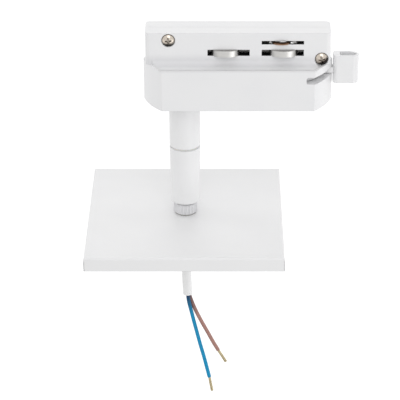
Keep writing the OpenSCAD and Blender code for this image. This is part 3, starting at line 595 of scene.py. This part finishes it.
def spring_lips(material):
    """The top edges of the four side springs, folded in flat, which close the view behind the bow.

    At a share u of the half length from the bow's middle, the spring's outer face stands the bow times
    (1 - |u|^2.6)^(1 / 2.6) past the foot. Each ring of the lip's grid is a flat strip with round edges,
    from just inside that face to the lip's inner edge.
    """
    share = np.linspace(-1, 1, 61)
    u = LIP_SPAN * np.sin(share * TURN / 4)
    bow = (1 - np.abs(u) ** SPRING_POWER) ** (1 / SPRING_POWER)
    reach = (SPRING_FOOT_Y + SPRING_BOW * bow - LIP_INSET)[:, None]
    turn = np.linspace(0, TURN, 12, endpoint=False)[None]
    across, up = np.cos(turn), np.sin(turn)
    middle, half = (reach + LIP_INNER_Y) / 2, np.maximum(reach - LIP_INNER_Y, LIP_T) / 2
    depth = middle + (half - LIP_T / 2) * np.sign(np.round(across, 6)) + LIP_T / 2 * across
    height = LIP_Z + LIP_T / 2 * up + 0 * depth
    skins = []
    for bow_middle in SPRING_MIDDLES:
        for side in (-1, 1):
            x = bow_middle + SPRING_HALF_LENGTH * u[:, None] + 0 * depth
            grid = np.stack([x, side * depth, height], axis=-1)[:, ::side] * MM
            skins.append(skin(grid))
    piece("side_spring_lips", skins, material, "adapter", "spring_steel")


# Bolts and threads

# The bolt's head: radius, height over its seat, the dome's radius, and the rounding of its rim
HEAD_R = 3.4 * MM
HEAD_H = 2.2 * MM
DOME_R = 4.6 * MM
RIM_BAND = 0.3 * MM
RIM_DROP = 0.12 * MM

# Its cross recess: half an arm's width at the middle and how it narrows outwards, the arm's length,
# the width of the side and end walls, and the depth in the middle and how it lessens outwards
CROSS_HALF = 0.66 * MM
CROSS_NARROWS = 0.14
CROSS_LENGTH = 1.95 * MM
CROSS_SIDE_WALL = 0.22 * MM
CROSS_END_WALL = 0.5 * MM
CROSS_DEPTH = 1.3 * MM
CROSS_RISES = 0.3

# Its shank, which starts a little inside the head
SHANK_D = 3 * MM
SHANK_LENGTH = 12.6 * MM
SHANK_IN_HEAD = 0.6 * MM
SHANK_PITCH = 0.5 * MM
SHANK_THREAD_DEPTH = 0.2 * MM

# The heads' seat along Y, and each bolt's X and Z in millimetres, its cross's turn in radians, the
# side that the painted dark reflection lies on in turns round the head, and the share of the radius it
# starts past
BOLT_SEAT_Y = -7.55
BOLTS = ((-8.2, -4.2, 0.1, 0.74, 0.2), (73.4, -14.8, 0.25, 0.85, 0.0))

# The thread of the plate's hollow nipple
NIPPLE_D = 10 * MM
NIPPLE_PITCH = 1 * MM
NIPPLE_THREAD_DEPTH = 0.5 * MM
NIPPLE_BORE = 7.2 * MM


def dome_height(radius):
    """Height of the domed head over its seat at a radius: a sphere whose top is at the head's height."""
    return HEAD_H - DOME_R + np.sqrt(np.maximum(DOME_R**2 - radius**2, 0))


def bolt_head(place, turned):
    """A domed head with a cross recess, on a grid of radius and angle round an axis along Y.

    The recess takes away a depth that is full inside either arm of the cross, fades over its walls
    and grows towards the middle. The rings lie closer where the recess is.
    """
    recess_rings, rim_rings = np.linspace(0.04, 2.2, 36), np.linspace(2.26, HEAD_R / MM, 14)
    radius = np.concatenate([recess_rings, rim_rings])[:, None] * MM
    angle = np.linspace(0, TURN, 128, endpoint=False)[None]
    x, z = radius * np.cos(angle), radius * np.sin(angle)
    along = x * math.cos(turned) + z * math.sin(turned)
    aside = z * math.cos(turned) - x * math.sin(turned)
    cut = np.zeros_like(x)
    for out, beside in ((along, aside), (aside, along)):
        room = CROSS_HALF - CROSS_NARROWS * np.abs(out) - np.abs(beside)
        wall = np.clip(room / CROSS_SIDE_WALL, 0, 1)
        tip = np.clip((CROSS_LENGTH - np.abs(out)) / CROSS_END_WALL, 0, 1)
        cut = np.maximum(cut, wall * tip)
    sunk = (CROSS_DEPTH - CROSS_RISES * radius) * cut
    rounding = RIM_DROP * np.clip((radius - HEAD_R + RIM_BAND) / RIM_BAND, 0, 1) ** 3
    height = dome_height(radius) - sunk - rounding
    top = np.stack([place[0] + x, place[1] - height, place[2] + z], axis=-1)
    rim_x, rim_z = HEAD_R * np.cos(angle), HEAD_R * np.sin(angle)
    seat = np.stack([place[0] + rim_x, np.full_like(angle, place[1]), place[2] + rim_z], axis=-1)
    return skin(np.concatenate([top, seat]))


def thread(axis_start, direction, length, diameter, pitch, depth, bore=0.0, sides=36):
    """A screw thread along an axis, on a grid of height and angle, with a plain bore if it has one.

    The radius falls from the crest by the depth of a triangle wave of height over pitch less the
    share of a turn, and it narrows to the root in the last half pitch at both ends. A bore adds two
    rings that lead back through the inside, and the first ring again.
    """
    rings_per_pitch = 10
    height = np.linspace(0, length, int(length / pitch * rings_per_pitch))[:, None]
    angle = np.linspace(0, TURN, sides, endpoint=False)[None]
    wave = np.abs(((height / pitch - angle / TURN) % 1) * 2 - 1)
    ends = np.clip(np.minimum(height, length - height) / (0.5 * pitch), 0, 1)
    radius = diameter / 2 - depth * (1 - (1 - wave) * ends)
    if bore:
        height = np.vstack([height, [[length], [0.0]]])
        radius = np.vstack([radius, np.full((2, sides), bore / 2)])
    axis = np.array(direction, float)
    across = np.cross(axis, [1.0, 0.0, 0.0])
    up = np.cross(axis, across)
    grid = (
        np.array(axis_start, float)
        + height[..., None] * axis
        + radius[..., None] * (np.cos(angle)[..., None] * across + np.sin(angle)[..., None] * up)
    )
    if bore:
        grid = np.concatenate([grid, grid[:1]])
    return skin(grid, caps=(not bore, not bore))


def painted_dark_share(points, seat, towards, past):
    """Share of painted darkness at each point: a crescent on one side and a thin rim as painted
    reflection, and painted shade in the cross.

    The crescent lies past a share of the radius, towards a direction in turns round the head. A point
    is in the cross where it is below the dome, and the painted shade covers little more than half of
    it there.
    """
    edge_fade, rim_start = 0.4, 0.85
    cross_reach, cross_fade, cross_shade = 0.62, 0.5 * MM, 0.55
    x, z = (points[:, 0] - seat[0]) / HEAD_R, (points[:, 2] - seat[2]) / HEAD_R
    radius = np.hypot(x, z)
    below = dome_height(radius * HEAD_R) - (seat[1] - points[:, 1])
    sunk = np.clip(below / cross_fade, 0, cross_shade) * (radius < cross_reach)
    reach = x * math.cos(towards * TURN) + z * math.sin(towards * TURN)
    crescent = np.clip((reach - past) / edge_fade, 0, 1)
    rim = np.clip((radius - rim_start) / edge_fade, 0, 1)
    return np.maximum.reduce([crescent, rim, sunk])


def shell_bolts(material):
    """The two bolts that hold the insert's half shells: a recessed head and a threaded shank each."""
    skins, reflection_and_shade = [], []
    for x, z, turned, towards, past in BOLTS:
        seat = [x * MM, BOLT_SEAT_Y * MM, z * MM]
        shank = [seat[0], seat[1] - SHANK_IN_HEAD, seat[2]]
        parts = [
            bolt_head(seat, turned),
            thread(shank, (0, 1, 0), SHANK_LENGTH, SHANK_D, SHANK_PITCH, SHANK_THREAD_DEPTH),
        ]
        skins += parts
        reflection_and_shade += [painted_dark_share(points, seat, towards, past) for points, _ in parts]
    made = piece("shell_bolts", skins, material, "adapter", "plated_screw", "shell_screws")
    # The heads' painted reflection and painted shade, as a point attribute
    values = made.data.attributes.new("reflection_and_shade", "FLOAT", "POINT")
    values.data.foreach_set("value", np.concatenate(reflection_and_shade))


def hollow_nipple(material):
    """The bored and threaded tube that joins the sleeve to the plate, as long as its CAD node."""
    low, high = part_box("plate_nipple")
    tube = thread(
        [0, 0, low.z], (0, 0, 1), high.z - low.z,
        NIPPLE_D, NIPPLE_PITCH, NIPPLE_THREAD_DEPTH, NIPPLE_BORE, sides=72,
    )
    piece("threaded_plate_nipple", [tube], material, "stem_foot", "plated_steel", "plate_nipple")


# Studio

FLOOR_Z = -1.5
FLOOR_HALF = 6.0


def white_to_the_eye(tree, plain, bright):
    """Mixes two shaders so that camera, mirror and glass rays see the bright one."""
    path = add(tree, "LightPath")
    first = add(
        tree, "Math", links={0: path.outputs["Is Camera Ray"], 1: path.outputs["Is Glossy Ray"]},
        operation="MAXIMUM",
    )
    seen = add(
        tree, "Math", links={0: first.outputs[0], 1: path.outputs["Is Transmission Ray"]},
        operation="MAXIMUM",
    )
    return add(tree, "MixShader", links={0: seen.outputs[0], 1: plain, 2: bright}).outputs[0]


def white_room():
    """Even light from all round, which looks plain white behind the object."""
    world = bpy.data.worlds.new("studio")
    bpy.context.scene.world = world
    world.use_nodes = True
    tree = world.node_tree
    tree.nodes.clear()
    room = add(tree, "Background", {"Color": linear("FFFFFF"), "Strength": 0.75})
    white = add(tree, "Background", {"Color": linear("FFFFFF"), "Strength": 1.0})
    seen = white_to_the_eye(tree, room.outputs[0], white.outputs[0])
    add(tree, "OutputWorld", links={"Surface": seen})


def paper_floor():
    """A flat sheet of white paper, well below the lead, so that the mount hangs over it."""
    mesh = bpy.data.meshes.new("floor")
    corners = np.array([[-1, -1], [1, -1], [1, 1], [-1, 1]]) * FLOOR_HALF
    mesh.from_pydata(np.column_stack([corners, np.full(4, FLOOR_Z)]).tolist(), [], [[0, 1, 2, 3]])
    floor = bpy.data.objects.new("floor", mesh)
    bpy.context.scene.collection.objects.link(floor)
    paper = bpy.data.materials.new("white_floor_paper")
    paper.use_nodes = True
    tree = paper.node_tree
    tree.nodes.clear()
    plain = add(tree, "BsdfDiffuse", {"Color": linear("E8E8E8")})
    glow = add(tree, "Emission", {"Color": linear("FFFFFF"), "Strength": 0.55})
    both = add(tree, "AddShader", links={0: plain.outputs[0], 1: glow.outputs[0]})
    seen = white_to_the_eye(tree, plain.outputs[0], both.outputs[0])
    add(tree, "OutputMaterial", links={"Surface": seen})
    mesh.materials.append(paper)


def studio():
    """The white room, its floor and five soft lamps.

    One lamp is above in front, one above behind, one at each side and one low in front on the right.
    """
    white_room()
    paper_floor()
    softbox("key_lamp", (0.1, -0.8, 0.7), (0.02, 0, -0.08), 0.7, 0.7, 2.05)
    softbox("back_lamp", (0.05, 0.75, 0.8), (0.02, 0, -0.1), 0.8, 0.5, 1.1)
    softbox("right_lamp", (0.88, 0.25, 0.0), (0, 0, -0.1), 0.4, 0.9, 1.4)
    softbox("left_lamp", (-0.85, 0.3, 0.1), (0, 0, -0.1), 0.4, 0.9, 1.4)
    softbox("low_lamp", (0.6, -0.75, -0.35), (0, 0, -0.14), 0.6, 0.4, 1.3)
    bpy.context.scene.view_settings.view_transform = "Standard"


# The object


def paint(node, material):
    """Gives a CAD node a material through its object's material slots."""
    part = nodes[node]
    if not part.material_slots:
        part.data.materials.append(None)
    for place in part.material_slots:
        place.link = "OBJECT"
        place.material = material


set_camera()

materials = {
    "white_plastic": moulded_polycarbonate("moulded_white_polycarbonate"),
    "slide_plastic": acetal_painted_black(),
    "plated_screw": plated_bolt(),
    "spring_steel": rolled_nickel_strip(),
    "copper": copper_strip(),
    "plated_steel": zinc_plate(),
    "white_paint": powder_coat("white_powder_coat", "EAEAEB", "F0F0F0"),
    "washer_plastic": turned_nylon(),
    "bush_plastic": soft_pvc("soft_white_pvc_bush", "DEDEDC", "E8E8E6", 0.5),
    "cable_sheath": soft_pvc("white_pvc_sheath", "F5F5F5", "FAFAFA", 0.42),
    # The last colour given to each core is its painted shade near the sheath
    "blue_insulation": soft_pvc("blue_pvc_insulation", "0082AE", "079ACC", 0.36, "06284F"),
    "brown_insulation": soft_pvc("brown_pvc_insulation", "9A7167", "B68B82", 0.36, "5F4A4A"),
    "strands": annealed_strands(),
}
for part in frame["record"]["subparts"]:
    paint(part["node"], materials[part["material_slot"]])

# The half shells get painted shade in the cove and at the rim seam, and are painted black inside as shade
shell = moulded_polycarbonate(
    "moulded_polycarbonate_shell", [COVE_SHADE, SEAM_SHADE], (INSERT_HOLLOW, SLOT_BLOCK)
)
for half in ("insert_front", "insert_back"):
    paint(half, shell)
# The housing gets painted shade along the seam at its rim
paint("housing", moulded_polycarbonate("moulded_polycarbonate_housing", [SEAM_SHADE]))
# The lock nut's coat is darker, as painted shade among its ribs
paint("lock_nut", powder_coat("powder_coat_darkened_as_rib_shade", "DADADC", "E8E8EA"))
# The lock washer is grey as painted shade in the gap under the nut
paint("lock_washer", grey_washer_as_shade())

lead(materials)
spring_lips(materials["spring_steel"])
shell_bolts(materials["plated_screw"])
hollow_nipple(materials["plated_steel"])
studio()
